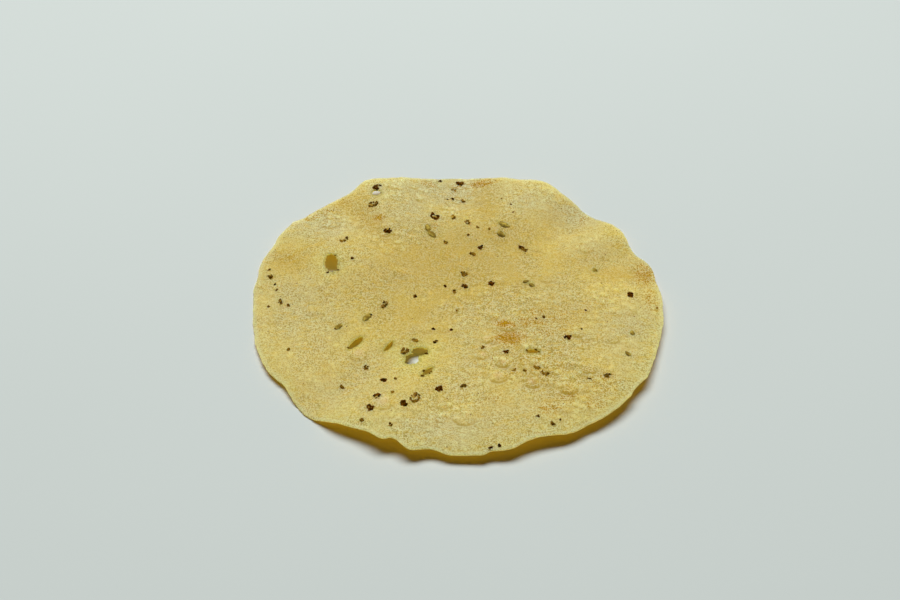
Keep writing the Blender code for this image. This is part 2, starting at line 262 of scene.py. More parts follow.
def around(stops, angle):
    """The value at each angle, eased between the stops of a closed ring."""
    ring = np.array(stops + ((stops[0][0] + 360, stops[0][1]),), float)
    angle = (np.asarray(angle, float) - ring[0, 0]) % 360 + ring[0, 0]
    at = np.clip(np.searchsorted(ring[:, 0], angle) - 1, 0, len(stops) - 1)
    low, high = ring[at], ring[at + 1]
    share = smooth((angle - low[..., 0]) / (high[..., 0] - low[..., 0]))
    return low[..., 1] + (high[..., 1] - low[..., 1]) * share


def bump(x, y, spot_x, spot_y, length, width, turn):
    """A round-topped hill of height 1 that fades out at about twice its half-sizes."""
    turn = math.radians(turn)
    along = (x - spot_x) * math.cos(turn) + (y - spot_y) * math.sin(turn)
    across = (y - spot_y) * math.cos(turn) - (x - spot_x) * math.sin(turn)
    return np.exp(-((along / length) ** 2) - (across / width) ** 2)


def scattered_blisters():
    """Small blisters all over, closer together in the middle and the front right."""
    found = []
    while len(found) < SMALL_BLISTERS:
        reach = SMALL_BLISTER_REACH * math.sqrt(draw.random())
        angle = math.radians(draw.uniform(0, 360))
        x, y = reach * math.cos(angle), reach * math.sin(angle)
        height = draw.uniform(*SMALL_BLISTER_HEIGHT)
        radius = draw.uniform(*SMALL_BLISTER_RADIUS)
        if draw.random() < SPARSE_SHARE + (1 - SPARSE_SHARE) * smooth(0.5 + (x - y) / SPARSE_SPAN):
            found.append((x, y, height, radius))
    return found


def hole_outline(hole):
    """Corners of a hole's ragged edge, seen from above."""
    x, y, length, width, turn = hole
    wander = np.array([1 + draw.uniform(-HOLE_RAGGED, HOLE_RAGGED) for _ in range(HOLE_SIDES)])
    side = np.arange(HOLE_SIDES * EDGE_STEPS) / EDGE_STEPS
    low = side.astype(int)
    step = wander[(low + 1) % HOLE_SIDES] - wander[low]
    reach = 0.5 * (wander[low] + step * smooth(side - low))
    reach += [draw_fine.uniform(-HOLE_FINE, HOLE_FINE) for _ in side]
    around_it = side / HOLE_SIDES * math.tau
    along, across = length * reach * np.cos(around_it), width * reach * np.sin(around_it)
    turn = math.radians(turn)
    return np.column_stack((
        x + along * math.cos(turn) - across * math.sin(turn),
        y + along * math.sin(turn) + across * math.cos(turn),
    ))


ALL_BLISTERS = BLISTERS + tuple(scattered_blisters())
OUTLINES = [hole_outline(hole) for hole in HOLES]
GRAINS = PEPPER + HUSKS + CUMIN + FLECKS


def reach_at(angle):
    """The outline's reach, with the small nibbles of its edge."""
    reach = around(REACH, angle)
    for number, (waves, size) in enumerate(RIM_JITTER):
        reach = reach + size * np.sin(np.radians(angle * waves) + JITTER_SHIFT * number)
    return reach


def domes(x, y, spots):
    """How far each place is up the blister that it is on, from 0 at the foot to 1 on top."""
    found = np.zeros_like(x)
    for spot_x, spot_y, _, radius in spots:
        found = np.maximum(found, smooth(1 - np.hypot(x - spot_x, y - spot_y) / radius))
    return found


def underside(x, y):
    """Height of the sheet's underside at each place, never under the surface it lies on."""
    angle = np.degrees(np.arctan2(y, x))
    share = np.hypot(x, y) / around(REACH, angle)
    inner = np.full_like(x, MIDDLE_LIFT)
    for spot_x, spot_y, lift, length, width, turn in SWELLS:
        inner += lift * bump(x, y, spot_x, spot_y, length, width, turn)
    wave = smooth((share - RIM_WAVE_FROM) / (1 - RIM_WAVE_FROM))
    height = inner + (around(RIM_LIFT, angle) - inner) * wave
    free = np.clip(height, 0, 1)
    for spot_x, spot_y, rise, radius in ALL_BLISTERS:
        height += rise * free * smooth(1 - np.hypot(x - spot_x, y - spot_y) / radius)
    return np.maximum(height, 0.0)


def from_holes(x, y, outlines):
    """Distance of each place from the nearest hole's edge, and FAR well away from them all."""
    found = np.full_like(x, FAR)
    for outline in outlines:
        middle = outline.mean(0)
        near = np.flatnonzero(np.hypot(x - middle[0], y - middle[1]) < HOLE_NEAR)
        place = np.column_stack((x[near], y[near]))[:, None]
        start, along = outline[None], (np.roll(outline, -1, 0) - outline)[None]
        share = ((place - start) * along).sum(2) / (along ** 2).sum(2)
        gap = place - start - np.clip(share, 0, 1)[..., None] * along
        found[near] = np.minimum(found[near], np.hypot(gap[..., 0], gap[..., 1]).min(1))
    return found


def near_grains(x, y):
    """1 at a seed or fleck, fading to 0 at about GRAIN_ROOM from it."""
    found, width = np.zeros_like(x), GRAIN_ROOM / 2
    for spot_x, spot_y, length, turn in GRAINS:
        found = np.maximum(found, bump(x, y, spot_x, spot_y, width + length / 2, width, turn))
    return found


# ---------------------------------------------------------------- small tools


def add(tree, kind, inputs=None, **settings):
    """Adds a node with its settings, and gives each input its value or the socket it comes from."""
    node = tree.nodes.new(kind)
    for name, value in settings.items():
        setattr(node, name, value)
    for socket, value in (inputs or {}).items():
        if isinstance(value, bpy.types.NodeSocket):
            tree.links.new(value, node.inputs[socket])
        else:
            node.inputs[socket].default_value = value
    return node


def combined(tree, known, how, parts, easing="SMOOTHSTEP"):
    """The product, sum or other outcome of some values, taken in order.

    A part is a number, the name of a known value, or a tuple of such a name and its span: where
    it begins and ends, and what that becomes if it isn't 0 and 1.
    """
    result = None
    for part in parts:
        name, *span = part if isinstance(part, tuple) else (part,)
        value = known.get(name, name)
        if span:
            inputs = dict(zip(("Value", 1, 2, 3, 4), (value, *span)))
            value = add(tree, "ShaderNodeMapRange", inputs, interpolation_type=easing).outputs[0]
        if result is not None:
            value = add(tree, "ShaderNodeMath", {0: result, 1: value}, operation=how).outputs[0]
        result = value
    return result


def new_material(name):
    """A material with an empty tree, and the Object coordinates that its patterns read."""
    material = bpy.data.materials.new(name)
    material.use_nodes = True
    tree = material.node_tree
    tree.nodes.clear()
    return material, tree, add(tree, "ShaderNodeTexCoord").outputs["Object"]


def new_shape_tree(name, sizes):
    """A Geometry Nodes tree with one named input for each size, its inputs and its output node."""
    tree = bpy.data.node_groups.new(name, "GeometryNodeTree")
    tree.interface.new_socket("Geometry", in_out="INPUT", socket_type="NodeSocketGeometry")
    for label, kind in sizes.items():
        tree.interface.new_socket(label, in_out="INPUT", socket_type="NodeSocket" + kind)
    tree.interface.new_socket("Geometry", in_out="OUTPUT", socket_type="NodeSocketGeometry")
    return tree, tree.nodes.new("NodeGroupInput").outputs, tree.nodes.new("NodeGroupOutput")


def end_tree(tree, made, shape, material):
    """Ends a tree: what it made becomes real geometry of one material."""
    real = add(tree, "GeometryNodeRealizeInstances", {"Geometry": shape})
    done = add(tree, "GeometryNodeSetMaterial", {"Geometry": real.outputs[0], "Material": material})
    tree.links.new(done.outputs[0], made.inputs[0])


def run_tree(thing, tree, values):
    """Runs a Geometry Nodes tree on an object, and keeps what it makes as the object's mesh."""
    step = thing.modifiers.new(tree.name, "NODES")
    step.node_group = tree
    for item in tree.interface.items_tree:
        if item.item_type == "SOCKET" and item.in_out == "INPUT" and item.name in values:
            step[item.identifier] = values[item.name]
    keep_result(thing)


def keep_result(thing):
    """Turns an object's modifiers into its plain mesh."""
    graph = bpy.context.evaluated_depsgraph_get()
    made = bpy.data.meshes.new_from_object(thing.evaluated_get(graph))
    before = thing.data
    thing.modifiers.clear()
    thing.data = made
    bpy.data.meshes.remove(before)


def new_piece(name, mesh):
    """An object in the scene, in place of an earlier one of that name."""
    if name in bpy.data.objects:
        bpy.data.objects.remove(bpy.data.objects[name])
    thing = bpy.data.objects.new(name, mesh)
    bpy.context.scene.collection.objects.link(thing)
    return thing


def middle_of_outline():
    """How far the outline's own middle lies from the point that its reach is measured from."""
    angle = np.arange(0, 360, 0.05)
    reach = around(REACH, angle)
    x, y = reach * np.cos(np.radians(angle)), reach * np.sin(np.radians(angle))
    return np.array(((x.min() + x.max()) / 2, (y.min() + y.max()) / 2, 0.0))


def mesh_of(name, corners, faces):
    """A mesh from corners in mm, moved to stand where the solid does."""
    mesh = bpy.data.meshes.new(name)
    mesh.from_pydata(((np.asarray(corners, float) - MIDDLE) * MM).tolist(), [], faces)
    mesh.update()
    return mesh


def corners_of(mesh):
    """A mesh's corners in mm, one row each, as the tables above measure them."""
    flat = np.empty(len(mesh.vertices) * 3)
    mesh.vertices.foreach_get("co", flat)
    return flat.reshape(-1, 3) / MM + MIDDLE


def give(mesh, name, values, kind="FLOAT"):
    """Keeps one value for each corner of a mesh under a name."""
    field = "vector" if kind == "FLOAT_VECTOR" else "value"
    values = np.ravel(values).astype(np.float32)
    mesh.attributes.new(name, kind, "POINT").data.foreach_set(field, values)


def colour_setting(name, description, code):
    """A colour that a user may change, from its sRGB hex code."""
    return bpy.props.FloatVectorProperty(
        name=name, description=description, default=linear(code), size=4, subtype="COLOR", min=0, max=1)


def length_setting(name, description, size, least=0, most=100):
    """A length that a user may change. Its size and limits are given in mm."""
    return bpy.props.FloatProperty(
        name=name, description=description, default=size * MM, min=least * MM, max=most * MM,
        unit="LENGTH", subtype="DISTANCE", precision=5)


MIDDLE = middle_of_outline()


# ---------------------------------------------------------------- the bread


class PapadumBread(bpy.types.PropertyGroup):
    thickness: length_setting(
        "Thickness", "How thick the fried bread is away from its edges", 1.3, 0.5, 3)
    rim_thickness: length_setting("Rim thickness", "How thick it is at the rim", 0.75, 0.3, 3)
    torn_thickness: length_setting(
        "Torn thickness", "How thick it is at the edge of a hole", 0.55, 0.3, 3)
    bubble_width: length_setting(
        "Bubble width", "How far apart the fine bubbles of the crust are", 3.5, 1)
    bubble_height: length_setting("Bubble height", "How high the highest fine bubble stands", 0.36)
    patch_width: length_setting(
        "Patch width", "Width of the patches with more and with fewer bubbles", 28, 5)
    grain_width: length_setting("Grain width", "Width of one grain of the rough crust", 1.5, 0.8)
    grain_height: length_setting("Grain height", "How far the grains stand out", 0.19)
    bread: colour_setting("Bread", "Colour of most of the crust", "FEFEA3")
    # Pale is also laid on as painted light: on slopes that face the light, just outside a blister's near
    # foot, and along the rim.
    pale: colour_setting("Pale bread", "Colour where the crust is palest", "F0FFE4")
    # Also laid on as painted shade: on slopes and in the crease that face away from the light, and in the
    # wisps.
    deep: colour_setting("Smooth bread", "Colour where the dough stayed smooth and yellow", "EADC56")
    # Used as painted shade in the hollows between bubbles, and as the dark tone of the grain, pores and
    # torn edges.
    crease_shade_and_dark_tone: colour_setting("Creases", "Colour between the bubbles", "BCB562")
    # Blister tops: partly the thin dry skin's own colour, partly a painted highlight on the dome.
    blistered: colour_setting(
        "Blister tops", "Colour of the thin, dry skin on top of a blister", "FAF0D0")
    # Painted shade: laid only on the near side of blisters and bubbles, away from the light.
    near_side_shade: colour_setting("Blister feet", "Colour along the near foot of a blister", "C2B848")
    toast: colour_setting("Toasted", "Colour where frying browned it", "D2BA20")
    speck: colour_setting("Specks", "Colour of the pepper dust baked into the crust", "6E4A00")
    through: colour_setting(
        "Light through", "Colour of the light that comes through the bread", "FFB92A")
    through_thin: colour_setting(
        "Light through thin bread", "Colour of the light that comes through by the holes", "FFE4B4")
    lets_through: bpy.props.FloatProperty(
        name="Lets through", description="Share of the light that each side of the bread lets in",
        default=0.815, min=0, max=1, subtype="FACTOR")


def net(rings):
    """Shares of the way out and angles of a six-sided net's points, and its triangles."""
    share, angle, faces = [0.0], [0.0], []
    for ring in range(1, rings + 1):
        outer = 1 + 3 * ring * (ring - 1)
        inner = 1 + 3 * (ring - 1) * (ring - 2) if ring > 1 else 0
        count, within = 6 * ring, max(6 * (ring - 1), 1)
        share += [ring / rings] * count
        angle += [NET_CORNER + 360 * step / count for step in range(count)]
        for side in range(6):
            for step in range(ring):
                here = outer + side * ring + step
                after = outer + (side * ring + step + 1) % count
                below = inner + (side * (ring - 1) + step) % within
                faces.append((here, after, below))
                if step < ring - 1:
                    beside = inner + (side * (ring - 1) + step + 1) % within
                    faces.append((after, beside, below))
    return np.array(share), np.array(angle), faces


def bread_heights(x, y, edge_gap, look):
    """Heights of the lower and the upper side, thinner towards the rim and towards each hole."""
    gap = from_holes(x, y, OUTLINES)
    full, rim, torn = look.thickness / MM, look.rim_thickness / MM, look.torn_thickness / MM
    thick = rim + (full - rim) * smooth(edge_gap / RIM_REACH)
    thick = torn + (thick - torn) * smooth(gap / TORN_REACH)
    curl = TORN_CURL * np.exp(-((gap / CURL_REACH) ** 2))
    low = underside(x, y) + THINNED_BELOW * (full - thick) + curl
    return low, low + thick + GRAIN_MOUND * near_grains(x, y)


def sheet_mesh(look):
    """The closed sheet: a fine net on top, a coarser one below, and a rounded rim between."""
    corners, faces = [], []
    for (share, angle, triangles), upper in ((net(TOP_RINGS), 1), (net(LOW_RINGS), 0)):
        reach = share * reach_at(angle)
        x, y = reach * np.cos(np.radians(angle)), reach * np.sin(np.radians(angle))
        heights = bread_heights(x, y, (1 - share) * reach_at(angle), look)
        first = sum(map(len, corners))
        corners.append(np.column_stack((x, y, heights[upper])))
        order = 1 if upper else -1
        faces += [tuple(first + corner for corner in face[::order]) for face in triangles]
    # The rim: three rows of corners below the top's own, then the coarser row of the lower side.
    count, low_count = 6 * TOP_RINGS, 6 * LOW_RINGS
    top_first, low_first = len(corners[0]) - count, len(corners[0]) + len(corners[1]) - low_count
    top = corners[0][-count:]
    angle = NET_CORNER + 360 * np.arange(count) / count
    reach = reach_at(angle)
    low = bread_heights(top[:, 0], top[:, 1], np.zeros(count), look)[0]
    before = top_first
    for share in RIM_ROWS:
        bulge = reach + 0.5 * look.rim_thickness / MM * math.sin(math.pi * share)
        x, y = bulge * np.cos(np.radians(angle)), bulge * np.sin(np.radians(angle))
        first = sum(map(len, corners))
        corners.append(np.column_stack((x, y, top[:, 2] + (low - top[:, 2]) * share)))
        for step in range(count):
            after = (step + 1) % count
            faces.append((before + step, first + step, first + after, before + after))
        before = first
    for step in range(low_count):
        after = (step + 1) % low_count
        left, middle = before + 2 * step, before + 2 * step + 1
        right = before + (2 * step + 2) % count
        faces.append((left, low_first + step, middle))
        faces.append((middle, low_first + step, low_first + after))
        faces.append((middle, low_first + after, right))
    return mesh_of("sheet", np.vstack(corners), faces)


def cut_holes(sheet):
    """Cuts each ragged hole straight down through the sheet."""
    cutters = []
    for number, outline in enumerate(OUTLINES):
        count = len(outline)
        corners = [(x, y, z) for z in CUT_SPAN for x, y in outline]
        faces = [tuple(range(count))[::-1], tuple(range(count, 2 * count))]
        for step in range(count):
            after = (step + 1) % count
            faces.append((step, after, count + after, count + step))
        cutters.append(new_piece(f"cutter_{number}", mesh_of("cutter", corners, faces)))
        hole = sheet.modifiers.new(f"hole_{number}", "BOOLEAN")
        hole.object = cutters[-1]
        hole.solver = "MANIFOLD"
    keep_result(sheet)
    for cutter in cutters:
        bpy.data.objects.remove(cutter)


def feet(x, y):
    """For the blister whose foot shows most: how far outside the foot a place is, in mm, and how
    much it shows there. The higher the blister, the more, and only on the side towards -Y, away from
    the light at the back: it places the painted shade at the foot and the painted highlight just outside
    it.
    """
    outside, shows = np.full_like(x, FOOT_REACH), np.zeros_like(x)
    for spot_x, spot_y, rise, radius in ALL_BLISTERS:
        off = np.hypot(x - spot_x, y - spot_y) - FOOT_AT * radius
        share = min(1.15 * rise, 1.0) ** 1.5 * smooth(1.4 * (spot_y - y) / radius - 0.1)
        share *= smooth(1.3 - np.abs(off) / FOOT_REACH)
        better = share > shows
        outside, shows = np.where(better, off, outside), np.where(better, share, shows)
    return outside, shows


def mark_bread(mesh):
    """Keeps on the mesh what its relief and its material follow."""
    x, y, z = corners_of(mesh).T
    angle = np.degrees(np.arctan2(y, x))
    edge_gap = reach_at(angle) - np.hypot(x, y)
    gap = from_holes(x, y, OUTLINES)
    low = underside(x, y)
    # The plain and dry fields also hold painted shade and painted light on the broad slopes, besides the
    # dough's own smooth and paler places.
    for name, places in (("toasted", TOASTED), ("plain", DEEPER_AND_SHADED), ("dry", PALER_AND_LIT), ("bubbly", BUBBLY)):
        field = np.zeros_like(x)
        for *place, strength in places:
            field = np.maximum(field, strength * bump(x, y, *place))
        give(mesh, name, field)
    give(mesh, "upper", smooth((z - low - 0.25) / 0.5))    # 0 on the lower side, 1 on the upper
    give(mesh, "rim", 1 - smooth(edge_gap / RIM_REACH))
    give(mesh, "torn", 1 - smooth(gap / TORN_SHOWS))
    give(mesh, "thin", 1 - smooth(from_holes(x, y, OUTLINES[:WIDE_HOLES]) / THIN_REACH))
    give(mesh, "blister", domes(x, y, BLISTERS[:DRY_TOPS]))
    outside, shows = feet(x, y)
    # Where the painted shade and highlight round the blisters' near feet go.
    give(mesh, "foot_gap", outside)
    give(mesh, "foot", shows)


# How the crust rises: (name, how its parts come together, parts), in the order of working out.
CRUST_RISE = (
    ("bubbles", "MULTIPLY", "dome", ("chance", 0.25, 1), ("patches", 0.38, 0.62, 0.2, 1),
     ("bubbly", 0, 1, 0.6, 3.2), "Bubble Height"),
    ("grains", "MULTIPLY", ("grains", 0.7, 0), "Grain Height"),
    ("both", "ADD", "bubbles", "grains"),
    ("rise", "MULTIPLY", "both", ("plain", 0, 1, 1, 0.35)),
    ("edge", "MAXIMUM", "torn", "rim"),
    ("lift", "MULTIPLY", "rise", ("upper", 0, 1, 0.5, 1), ("edge", 0, 1, 1, 0.45)),
    ("full", "ADD", "Bubble Height", "Grain Height"),
    ("relief", "DIVIDE", "rise", "full"),
)


def crust_tree():
    """Raises fine bubbles and a rough grain on the crust, more in some patches than in others."""
    tree, given, made = new_shape_tree("papadum_crust", {
        "Bubble Width": "Float", "Bubble Height": "Float", "Patch Width": "Float",
        "Grain Width": "Float", "Grain Height": "Float", "Seed": "Float", "Material": "Material"})
    known = {name: given[name] for name in ("Bubble Height", "Grain Height", "Seed")}
    for name in ("upper", "plain", "torn", "rim", "bubbly"):
        known[name] = add(tree, "GeometryNodeInputNamedAttribute", {"Name": name}).outputs["Attribute"]
    # The lower side gets a pattern of its own, from another part of the endless texture.
    known["aside"] = combined(tree, known, "MULTIPLY", ("upper", SIDES_APART))
    aside = add(tree, "ShaderNodeCombineXYZ", {
        "X": combined(tree, known, "ADD", ("aside", "Seed")), "Y": given["Seed"]}).outputs[0]
    position = add(tree, "GeometryNodeInputPosition").outputs[0]
    place = add(tree, "ShaderNodeVectorMath", {0: position, 1: aside}, operation="ADD").outputs[0]
    scales = [add(tree, "ShaderNodeMath", {0: 1.0, 1: given[width]}, operation="DIVIDE").outputs[0]
              for width in ("Bubble Width", "Patch Width", "Grain Width")]
    cells = add(tree, "ShaderNodeTexVoronoi", {"Vector": place, "Scale": scales[0]},
                voronoi_dimensions="2D")
    known["apart"] = cells.outputs["Distance"]
    known["chance"] = add(tree, "ShaderNodeSeparateXYZ", {0: cells.outputs["Color"]}).outputs[0]
    known["patches"] = add(
        tree, "ShaderNodeTexNoise", {"Vector": place, "Scale": scales[1], "Detail": 1.0},
        noise_dimensions="2D").outputs[0]
    known["grains"] = add(
        tree, "ShaderNodeTexVoronoi", {"Vector": place, "Scale": scales[2], "Smoothness": 0.3},
        voronoi_dimensions="2D", feature="SMOOTH_F1").outputs["Distance"]
    known["dome"] = combined(tree, known, "ADD", [("apart", 0.52, 0.1)])
    for name, how, *parts in CRUST_RISE:
        known[name] = combined(tree, known, how, parts, "LINEAR")
    kept = add(tree, "GeometryNodeStoreNamedAttribute", {
        "Geometry": given["Geometry"], "Name": "relief", "Value": known["relief"]})
    offset = add(tree, "ShaderNodeCombineXYZ", {"Z": known["lift"]}).outputs[0]
    moved = add(tree, "GeometryNodeSetPosition", {"Geometry": kept.outputs[0], "Offset": offset})
    end_tree(tree, made, moved.outputs[0], given["Material"])
    return tree


# The clouds in the crust's colour: (name, width in mm, detail). Flour grit is about 0.3 mm wide, and
# it is drawn twice as coarse so that it shows.
CRUST_CLOUDS = (
    ("broad", 30, 2), ("rough", 17, 2), ("mottle", 6, 3), ("wisps", 2.6, 3), ("fine", 1.2, 2),
    ("grit", 0.6, 0),
)

# What the crust's coats follow, told in the same way as its rise, and in the order of working out.
CRUST_VALUES = (
    # The crust is rougher in some patches, and almost smooth where the dough stayed plain.
    ("rough", "MULTIPLY", ("rough", 0.36, 0.6, 0.5, 0.9), ("plain", 0.2, 1, 1, 0.85),
     ("bubbly", 0.2, 1, 0.9, 1.15)),
    ("wisps", "MULTIPLY", ("wisps", 0.5, 0.66)),
    ("bubble", "MULTIPLY", ("chance", 0.3, 0.8), ("bubbly", 0.1, 0.8, 0.15, 1)),
    # The near side of each bubble, towards -Y and away from the light, where its painted shade goes.
    ("near_side", "MULTIPLY", ("ahead", 0.2 * MM, 1.1 * MM), ("apart", 0.28, 0.48)),
    # The foot of a blister wanders in and out a little.
    ("foot_gap", "ADD", "foot_gap", ("fine", 0.3, 0.7, -0.35, 0.35)),
    ("foot", "MULTIPLY", "foot", ("bubbly", 0, 0.8, 0.5, 1)),
    # Browning has ragged, grainy edges.
    ("browned", "ADD", "toasted", ("fine", 0.3, 0.7, -0.2, 0.2), ("grit", 0.36, 0.62, -0.2, 0.2),
     ("wisps", 0, 1, -0.12, 0.12)),
    ("browned", "MULTIPLY", ("browned", 0.1, 0.9), ("toasted", 0.02, 0.3)),
    ("sheen", "MULTIPLY", ("fine", 0.3, 0.7, 0.55, 0.8)),
    ("grain", "ADD", "fine", "grit"),
)

# The coats of colour, the first one lowest: (colour, how it is laid on, what it follows).
CRUST_COATS = (
    ("pale", "MIX", ("broad", 0.36, 0.64, 0, 0.3)),
    # Paler and deeper places: partly the dough's own tone, partly painted light and painted shade on the
    # broad slopes.
    ("pale", "MIX", "dry", 0.9),
    ("deep", "MIX", "plain", 0.8),
    ("pale", "MIX", ("mottle", 0.5, 0.68, 0, 0.16)),
    ("deep", "MIX", ("mottle", 0.5, 0.32, 0, 0.16)),
    # Painted shade in the hollows between the bubbles, where the crust rises least.
    ("crease_shade_and_dark_tone", "MIX", ("relief", 0.4, 0.1, 0, 0.3)),
    ("pale", "MIX", "rough", ("fine", 0.48, 0.36, 0, 0.3)),
    ("crease_shade_and_dark_tone", "MIX", "rough", ("fine", 0.5, 0.62, 0, 0.3)),
    ("pale", "MIX", "rough", ("grit", 0.49, 0.36, 0, 0.75)),
    ("crease_shade_and_dark_tone", "MIX", "rough", ("grit", 0.51, 0.62, 0, 0.9)),
    ("deep", "MIX", "wisps", "rough", 0.4),
    # The larger blisters' pale tops: partly dry skin, partly painted highlight.
    ("blistered", "MIX", ("blister", 0.5, 1, 0, 0.35)),
    # Each fine bubble is paler on top, and has painted shade along its near side, the side away from the
    # light at the back.
    ("pale", "MIX", "bubble", ("apart", 0.36, 0.1, 0, 0.4)),
    ("near_side_shade", "MIX", "bubble", "near_side", 0.45),
    # A blister has painted shade along its near foot, away from the light at the back, and a painted
    # highlight just outside it, where the next rise faces the light.
    ("near_side_shade", "MIX", ("foot_gap", -1.6, 0), ("foot_gap", 0.8, 0.3), "foot"),
    ("pale", "MIX", ("foot_gap", 0.3, 0.9), ("foot_gap", 2, 1.2), "foot", 0.35),
    # Painted highlight: the band along the rim is paler, where the edge catches the light.
    ("pale", "MIX", ("rim", 0.6, 1, 0, 0.35)),
    ("toast", "MIX", "browned"),
    ("toast", "MULTIPLY", "browned", ("grit", 0.5, 0.62, 0, 0.8)),
    ("crease_shade_and_dark_tone", "MIX", "torn", 0.5),
    ("speck", "MIX", ("dust", 0.11, 0.06), ("dust_chance", 0.74, 0.78)),
    ("crease_shade_and_dark_tone", "MULTIPLY", "rough", ("pores", 0.34, 0.18), ("pores_chance", 0.5, 0.6), 0.5),
)


def bread_material(look):
    """Papadum: lentil dough rolled thin, dried and fried in oil until it blisters.

    It is dry and brittle, so it is matt, with a faint sheen of oil. Being thin, it lets some
    light through, and the shade below it turns golden.
    """
    material, tree, coords = new_material("fried_lentil_dough")
    known = {}
    for name in ("upper", "relief", "rim", "torn", "thin", "blister", "foot_gap", "foot", "toasted",
                 "plain", "dry", "bubbly"):
        known[name] = add(tree, "ShaderNodeAttribute", attribute_name=name).outputs["Fac"]
    # Darker wisps, stretched from left to right, stand partly for browning and partly for the shade on
    # the near
    # sides of the bubbles: painted shade. They don't follow the bubbles themselves.
    wide = add(tree, "ShaderNodeVectorMath", {0: coords, 1: (0.42, 1, 1)}, operation="MULTIPLY")
    for name, width, detail in CRUST_CLOUDS:
        known[name] = add(tree, "ShaderNodeTexNoise", {
            "Vector": wide.outputs[0] if name == "wisps" else coords,
            "Scale": 1 / (width * MM), "Detail": detail}).outputs["Fac"]
    for name, width, channel in (("dust", 3.4, 0), ("pores", 1.9, 1)):
        spots = add(tree, "ShaderNodeTexVoronoi", {"Vector": coords, "Scale": 1 / (width * MM)})
        chance = add(tree, "ShaderNodeSeparateXYZ", {0: spots.outputs["Color"]})
        known[name], known[name + "_chance"] = spots.outputs["Distance"], chance.outputs[channel]
    # The same cells as those that the crust's bubbles rise from.
    place = add(tree, "ShaderNodeVectorMath", {
        0: coords, 1: (SIDES_APART + BUBBLE_SEED, BUBBLE_SEED, 0)}).outputs[0]
    cells = add(tree, "ShaderNodeTexVoronoi", {"Vector": place, "Scale": 1 / look.bubble_width},
                voronoi_dimensions="2D")
    known["apart"] = cells.outputs["Distance"]
    known["chance"] = add(tree, "ShaderNodeSeparateXYZ", {0: cells.outputs["Color"]}).outputs[0]
    ahead = add(tree, "ShaderNodeVectorMath", {0: cells.outputs["Position"], 1: place},
                operation="SUBTRACT").outputs[0]
    known["ahead"] = add(tree, "ShaderNodeSeparateXYZ", {0: ahead}).outputs[1]
    for name, how, *parts in CRUST_VALUES:
        known[name] = combined(tree, known, how, parts)
    colour = look.bread
    for name, how, *parts in CRUST_COATS:
        share = combined(tree, known, "MULTIPLY", parts)
        colour = add(tree, "ShaderNodeMix", {0: share, 6: colour, 7: getattr(look, name)},
                     data_type="RGBA", blend_type=how).outputs[2]
    bumps = add(tree, "ShaderNodeBump", {
        "Strength": 0.6, "Distance": 0.2 * MM, "Height": known["grain"]}).outputs[0]
    crust = add(tree, "ShaderNodeBsdfPrincipled", {
        "Base Color": colour, "Roughness": known["sheen"], "Specular IOR Level": 0.2,
        "Normal": bumps})
    # All the colour that the light takes on in the dough is given to it by the lower side.
    thin = combined(tree, known, "MULTIPLY", ("thin", 0.6))
    golden = add(tree, "ShaderNodeMix", {0: thin, 6: look.through, 7: look.through_thin},
                 data_type="RGBA").outputs[2]
    golden = add(tree, "ShaderNodeMix", {0: known["upper"], 6: golden, 7: colour},
                 data_type="RGBA").outputs[2]
    glow = add(tree, "ShaderNodeBsdfTranslucent", {"Color": golden, "Normal": bumps})
    surface = add(tree, "ShaderNodeMixShader", {
        0: look.lets_through, 1: crust.outputs[0], 2: glow.outputs[0]})
    add(tree, "ShaderNodeOutputMaterial", {"Surface": surface.outputs[0]})
    return material


class PAPADUM_OT_bread(bpy.types.Operator):
    """Make the thin, wavy, blistered bread with its holes"""

    bl_idname = "papadum.bread"
    bl_label = "Bread"

    def execute(self, context):
        look = context.scene.papadum_bread
        sheet = new_piece("papadum_bread", sheet_mesh(look))
        cut_holes(sheet)
        mark_bread(sheet.data)
        run_tree(sheet, crust_tree(), {
            "Bubble Width": look.bubble_width, "Bubble Height": look.bubble_height,
            "Patch Width": look.patch_width, "Grain Width": look.grain_width,
            "Grain Height": look.grain_height, "Seed": BUBBLE_SEED, "Material": bread_material(look)})
        sheet.data.shade_smooth()
        sheet.data.set_sharp_from_angle(angle=math.radians(EDGE_ANGLE))
        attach(sheet, BODY)
        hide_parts(NODE)
        return {"FINISHED"}


# ---------------------------------------------------------------- what is baked into it


KINDS = 6                 # different chips that a piece is laid with
PICKS = 60                # drawn from so many, so that each kind turns up equally often
CHIP_CORNERS = 13
CHIP_HALF_SIZES = (0.52, 0.44, 0.28)
CHIP_SPREAD = (0.65, 1.35)    # the smallest and the largest chip, as a share of the average
LONE_CHIP = 1.15
CHIP_SHIFT = 0.2          # how far a chip is off its place in the ring
CHIP_LONGER = 1.1         # how long it is, as a share of its width
THICKEST_CHIP = 1.6
HUSK_SHARE = 0.85         # width of a chip of husk, as a share of a chip of pepper
WRINKLE_WIDTH = 0.35
KERNEL_LENGTHS = (0.75, 0.95)    # as a share of the grain's length
KERNEL_WIDTHS = (0.5, 0.7)    # as a share of its own length
KERNEL_SHOWS = 3.4        # length of a cracked grain from which its inside shows
KERNEL_SHIFT = 0.4        # how far it is off the grain's middle
KERNEL_THICK = 1.3
KERNEL_SUNK = 0.15
CRUMB_CHANCE = 0.05       # for each corner of a hole's edge
CRUMB_SPREAD = (0.45, 0.9)    # the smallest and the largest crumb, as a share of a chip's width
CRUMB_SUNK = 0.1
CRUMB_OUT = 1.08          # how far from a hole's middle it lies, as a share of the edge there
CUMIN_PLUMPEST = 0.72     # width of the shortest seeds, as a share of their length
CUMIN_LENGTH = 1.15       # with its thin tips, as a share of the length in the table
CUMIN_HEIGHT = 0.55       # as a share of its width
CUMIN_SUNK = 0.12         # how deep it lies in the bread, as a share of its width
STEEPEST = 0.35           # nothing lies where the bread faces up less than this
UPRIGHT = 1.5             # what lies on a slope leans with it less, the higher this is
ABOVE_ALL = 40


